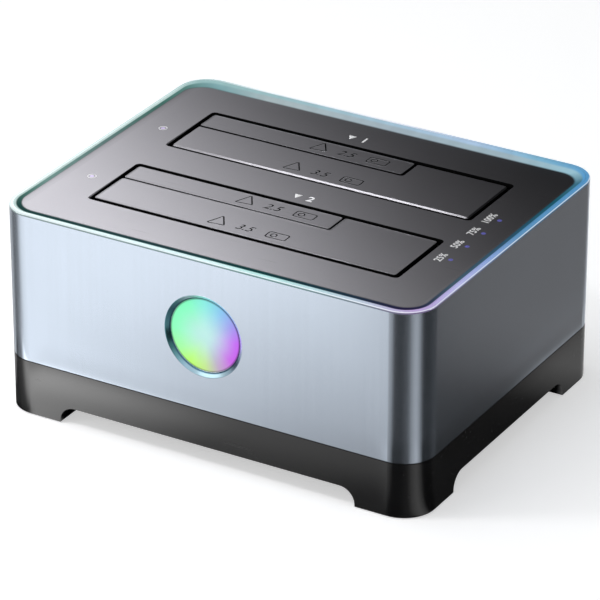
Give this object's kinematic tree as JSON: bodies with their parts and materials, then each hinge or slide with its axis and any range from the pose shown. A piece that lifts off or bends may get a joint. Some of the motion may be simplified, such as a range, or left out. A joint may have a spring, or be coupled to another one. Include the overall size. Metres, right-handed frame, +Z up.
{
  "type": "drive duplicator",
  "caption": "Drive duplicator dock: anodised aluminium sleeve on a footed black base, glowing rim, split spring flaps over top-loading bays, round front light window, rear ports.",
  "frame": {"origin": "middle of the overall box, on the plane that the rubber pads stand on", "axes": "+X to the right along the bays, +Y to the back where the ports are, +Z up"},
  "size_m": [0.1412, 0.1116, 0.0659],
  "materials": {
    "anodised_aluminium": "satin blue-grey anodised",
    "black_base": "satin black moulded",
    "cover_plastic": "satin dark grey moulded",
    "flap_plastic": "satin dark grey moulded",
    "well_plastic": "matt black moulded",
    "light_guide": "milky translucent, lit in changing colours",
    "diffuser": "milky diffuser, lit as a colour wheel",
    "reflector_white": "white",
    "foot_rubber": "matt",
    "circuit_board": "green solder mask",
    "light_board": "white solder mask",
    "chip_plastic": "moulded",
    "lamp": "small light-emitting part",
    "connector_plastic": "black moulded",
    "gold_contact": "gold plated",
    "steel": "bright",
    "spring_steel": "drawn wire",
    "can_aluminium": "bright can",
    "button_plastic": "black",
    "ribbon": "flat cable"
  },
  "bodies": {
    "case": {"aluminium_shell": "anodised_aluminium", "base_screws": "steel", "base_tray": "black_base", "bay_light_board": "light_board", "bay_light_pipes": "light_guide", "bay_lights": "lamp", "bridge_chips": "chip_plastic", "cable_sockets": "connector_plastic", "capacitors": "can_aluminium", "clone_switch": "connector_plastic", "controller_chip": "chip_plastic", "flash_chip": "chip_plastic", "foot_pads": "foot_rubber", "front_bay_liner": "well_plastic", "front_connector_contacts": "gold_contact", "front_drive_connector": "connector_plastic", "front_hinge_pin": "steel", "front_lens": "diffuser", "inductors": "chip_plastic", "lens_cable": "ribbon", "lens_light_board": "light_board", "lens_lights": "lamp", "lens_reflector": "reflector_white", "light_ring": "light_guide", "main_board": "circuit_board", "power_jack": "connector_plastic", "power_jack_pin": "steel", "power_switch": "connector_plastic", "progress_light_board": "light_board", "progress_light_pipes": "light_guide", "progress_lights": "lamp", "rear_bay_liner": "well_plastic", "rear_connector_contacts": "gold_contact", "rear_drive_connector": "connector_plastic", "rear_hinge_pin": "steel", "ring_cable": "ribbon", "ring_light_board": "light_board", "ring_lights": "lamp", "top_cover": "cover_plastic", "usb_socket": "steel", "usb_tongue": "connector_plastic"},
    "rear_small_flap_set": {"rear_small_flap": "flap_plastic", "rear_small_spring": "spring_steel"},
    "rear_large_flap_set": {"rear_large_flap": "flap_plastic", "rear_large_spring": "spring_steel"},
    "front_small_flap_set": {"front_small_flap": "flap_plastic", "front_small_spring": "spring_steel"},
    "front_large_flap_set": {"front_large_flap": "flap_plastic", "front_large_spring": "spring_steel"},
    "power_button_set": {"power_button": "button_plastic"},
    "clone_button_set": {"clone_button": "button_plastic"}
  },
  "joints": [
    {"name": "rear_small_flap_hinge", "type": "hinge", "parent": "case", "child": "rear_small_flap_set", "pos_m": [0, 0.03975, 0.0605], "axis": [1, 0, 0], "range_deg": [0, 90], "stiffness_Nm_per_rad": 0.002, "springref_deg": -34.38},
    {"name": "rear_large_flap_hinge", "type": "hinge", "parent": "case", "child": "rear_large_flap_set", "pos_m": [0, 0.03975, 0.0605], "axis": [1, 0, 0], "range_deg": [0, 90], "stiffness_Nm_per_rad": 0.004, "springref_deg": -34.38},
    {"name": "front_small_flap_hinge", "type": "hinge", "parent": "case", "child": "front_small_flap_set", "pos_m": [0, -0.00335, 0.0605], "axis": [1, 0, 0], "range_deg": [0, 90], "stiffness_Nm_per_rad": 0.002, "springref_deg": -34.38},
    {"name": "front_large_flap_hinge", "type": "hinge", "parent": "case", "child": "front_large_flap_set", "pos_m": [0, -0.00335, 0.0605], "axis": [1, 0, 0], "range_deg": [0, 90], "stiffness_Nm_per_rad": 0.004, "springref_deg": -34.38},
    {"name": "power_button_press", "type": "slide", "parent": "case", "child": "power_button_set", "axis": [0, -1, 0], "range_m": [0, 0.002], "stiffness_N_per_m": 600, "springref_m": -0.001},
    {"name": "clone_button_press", "type": "slide", "parent": "case", "child": "clone_button_set", "axis": [0, -1, 0], "range_m": [0, 0.0008], "stiffness_N_per_m": 800, "springref_m": -0.001}
  ]
}
